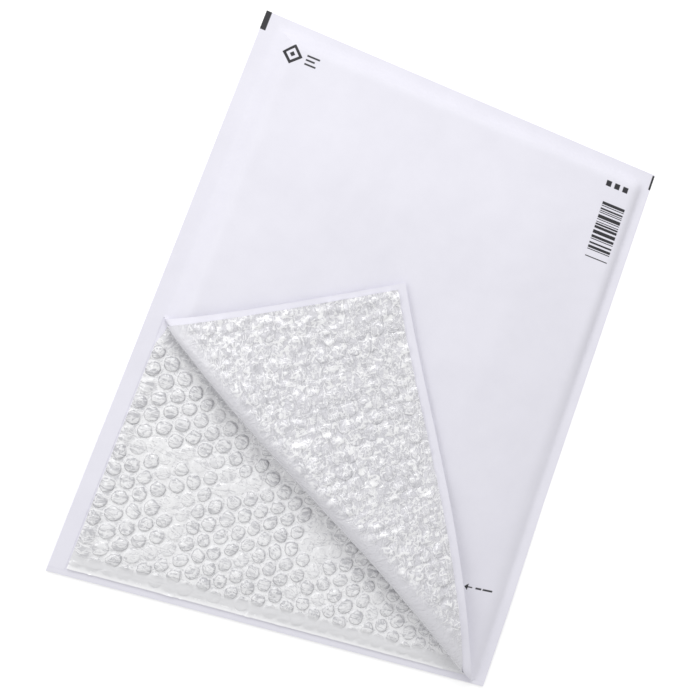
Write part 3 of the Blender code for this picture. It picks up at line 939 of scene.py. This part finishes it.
def place_front_film(x, y, level):
    """A point of the front film: its bubbles are squashed and crumpled where the corner is turned."""
    share, full = dome(x, y)
    past, along = to_fold(x, y)
    crushed = edge_share(x, y, front_film_low, front_film_high, FRONT_CRUSH_REACH)
    rolled = turned_share(x, y)
    turned = smooth(past / ROLL_FADE)
    squashed = 1 - SQUASH * turned * (SQUASH_EVEN + SQUASH_SPREAD * uneven(x, y, *SQUASH_WAVE))
    height = BUBBLE_HEIGHT * share * crushed * rolled * squashed
    crumple = CRUMPLE_EVEN + uneven(x, y * CRUMPLE_STRETCH, *CRUMPLE_WAVE)
    height += CRUMPLE_HEIGHT * rolled * turned * crumple
    height = max(0.0, min(height, FRONT_ROOM * headroom(x, y)))
    if level < 0:
        height = 0.0
    depth = FILM_DEPTH + WEB + level + height
    spot = place_front(x, y, depth)
    spot.z -= weld_dip(x, y, FILM_DEPTH + WEB)
    return spot


ROLL_CUT = 0.0012
ROLL_CUTS = range(-10, 24)
WELD_CUT = 0.0013
WELD_CUTS = range(1, 9)
front_film_sheet = bubble_film(front_film_low, front_film_high)
mark_film(front_film_sheet, turned_share, lambda x, y: 0.0)
back_web(front_film_sheet, front_film_low, front_film_high)
bmesh.ops.reverse_faces(front_film_sheet, faces=front_film_sheet.faces)
for step in ROLL_CUTS:
    trim(front_film_sheet, from_fold(step * ROLL_CUT, 0), ACROSS, keep_both=True)
for step in WELD_CUTS:
    inset = step * WELD_CUT
    trim(front_film_sheet, (FILM_X - inset, 0), (1, 0), keep_both=True)
    trim(front_film_sheet, (-FILM_X + inset, 0), (1, 0), keep_both=True)
    trim(front_film_sheet, (0, FILM_Y - inset), (0, 1), keep_both=True)
front_film = add_piece("front_bubble_film", front_film_sheet, place_front_film)
front_film.data.materials.append(film_finish("front_film", FILM_GREY, 1.0))
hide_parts("bubble_lining")

# The glue strip and its cover: a band of hot melt across the flap, and the silicone paper that is
# peeled off it to close the envelope. Both are the CAD's own strips with their real finish.
GRAIN_RANGE = (0.3, 0.7)
GLUE_DARK = (0.72, 0.66, 0.50)
GLUE_LIGHT = (0.82, 0.78, 0.64)
COVER_DARK = (0.80, 0.78, 0.70)
COVER_LIGHT = (0.87, 0.85, 0.78)


def strip_finish(name, roughness, scale, dark, light, relief):
    """A plain strip with a grain in its colour and its surface."""
    made, shader, start = start_finish(name, roughness)
    place = start.node("ShaderNodeTexCoord", {}, output=3)
    grain = start.node("ShaderNodeTexNoise", {"Vector": place, "Scale": scale, "Detail": 3.0})
    feed(shader, "Base Color", grain.ramp(*GRAIN_RANGE).mix((*dark, 1), (*light, 1)))
    feed(shader, "Normal", start.node("ShaderNodeBump", {"Height": grain, "Distance": relief}))
    return made


glue = strip_finish("hot_melt_glue", 0.3, 260.0, GLUE_DARK, GLUE_LIGHT, 0.0003)
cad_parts["flap_adhesive"].material_slots[0].material = glue
cover = strip_finish("silicone_paper", 0.38, 700.0, COVER_DARK, COVER_LIGHT, 0.0001)
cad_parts["release_liner"].material_slots[0].material = cover

# The table: a plain white surface that shows as pure white to the camera and keeps only the soft
# shadow of the envelope.
FLOOR_DROP = 0.0002
FLOOR_GLOW = 0.30
floor_sheet = bmesh.new()
bmesh.ops.create_grid(floor_sheet, x_segments=1, y_segments=1, size=6)
floor_mesh = bpy.data.meshes.new("floor")
floor_sheet.to_mesh(floor_mesh)
floor_sheet.free()
floor = bpy.data.objects.new("floor", floor_mesh)
floor.location.z = cad_box[0].z - FLOOR_DROP
bpy.context.scene.collection.objects.link(floor)
ground, ground_shader, ground_start = start_finish("floor_white", 0.9)
ground_shader.inputs["Base Color"].default_value = (0.90, 0.90, 0.90, 1)
ground_shader.inputs["Emission Strength"].default_value = FLOOR_GLOW
seen_floor = ground_start.node("ShaderNodeLightPath", {})
feed(ground_shader, "Emission Color", seen_floor.mix((0, 0, 0, 1), (1, 1, 1, 1)))
floor_mesh.materials.append(ground)

# The light: an even white room and two large soft lamps, the key lamp beyond the closed end and a
# weaker one on the left, so that the shadows fall as in the photograph.
ROOM_LIGHT = 0.56
LAMP_SIZE = 0.8
world = bpy.data.worlds.new("white_room")
world.use_nodes = True
bpy.context.scene.world = world
room = Value(world.node_tree)
rays = room.node("ShaderNodeLightPath", {})
seen = rays
for ray in ("Is Glossy Ray", "Is Transmission Ray"):
    seen = seen.math("MAXIMUM", Value(rays.tree, rays.socket.node.outputs[ray]))
strength = seen * (1.0 - ROOM_LIGHT) + ROOM_LIGHT
world.node_tree.nodes["Background"].inputs["Color"].default_value = (1, 1, 1, 1)
world.node_tree.links.new(strength.socket, world.node_tree.nodes["Background"].inputs["Strength"])


def add_lamp(name, place, power):
    """A square soft box at a place, turned to the middle of the table."""
    light = bpy.data.lights.new(name, "AREA")
    light.size = LAMP_SIZE
    light.energy = power
    lamp = bpy.data.objects.new(name, light)
    lamp.location = place
    lamp.rotation_euler = (-Vector(place)).to_track_quat("-Z", "Y").to_euler()
    bpy.context.scene.collection.objects.link(lamp)


add_lamp("key_soft_box", (-0.40, 1.20, 1.35), 12.9)
add_lamp("side_soft_box", (-1.2, -0.10, 1.25), 4.2)

# The camera: above the envelope, with the closed end turned up and to the right as in the photograph.
camera_data = bpy.data.cameras.new("camera")
camera_data.lens = 36
camera_data.sensor_width = 36
camera_data.shift_x = -0.100
camera_data.shift_y = -0.155
camera_data.clip_start = 0.01
camera = bpy.data.objects.new("camera", camera_data)
camera.location = (-0.0806, 0.0438, 0.4596)
camera.rotation_euler = [math.radians(turn) for turn in (0.752, -10.993, 20.369)]
bpy.context.scene.collection.objects.link(camera)
bpy.context.scene.camera = camera
bpy.context.scene.view_settings.view_transform = "Standard"
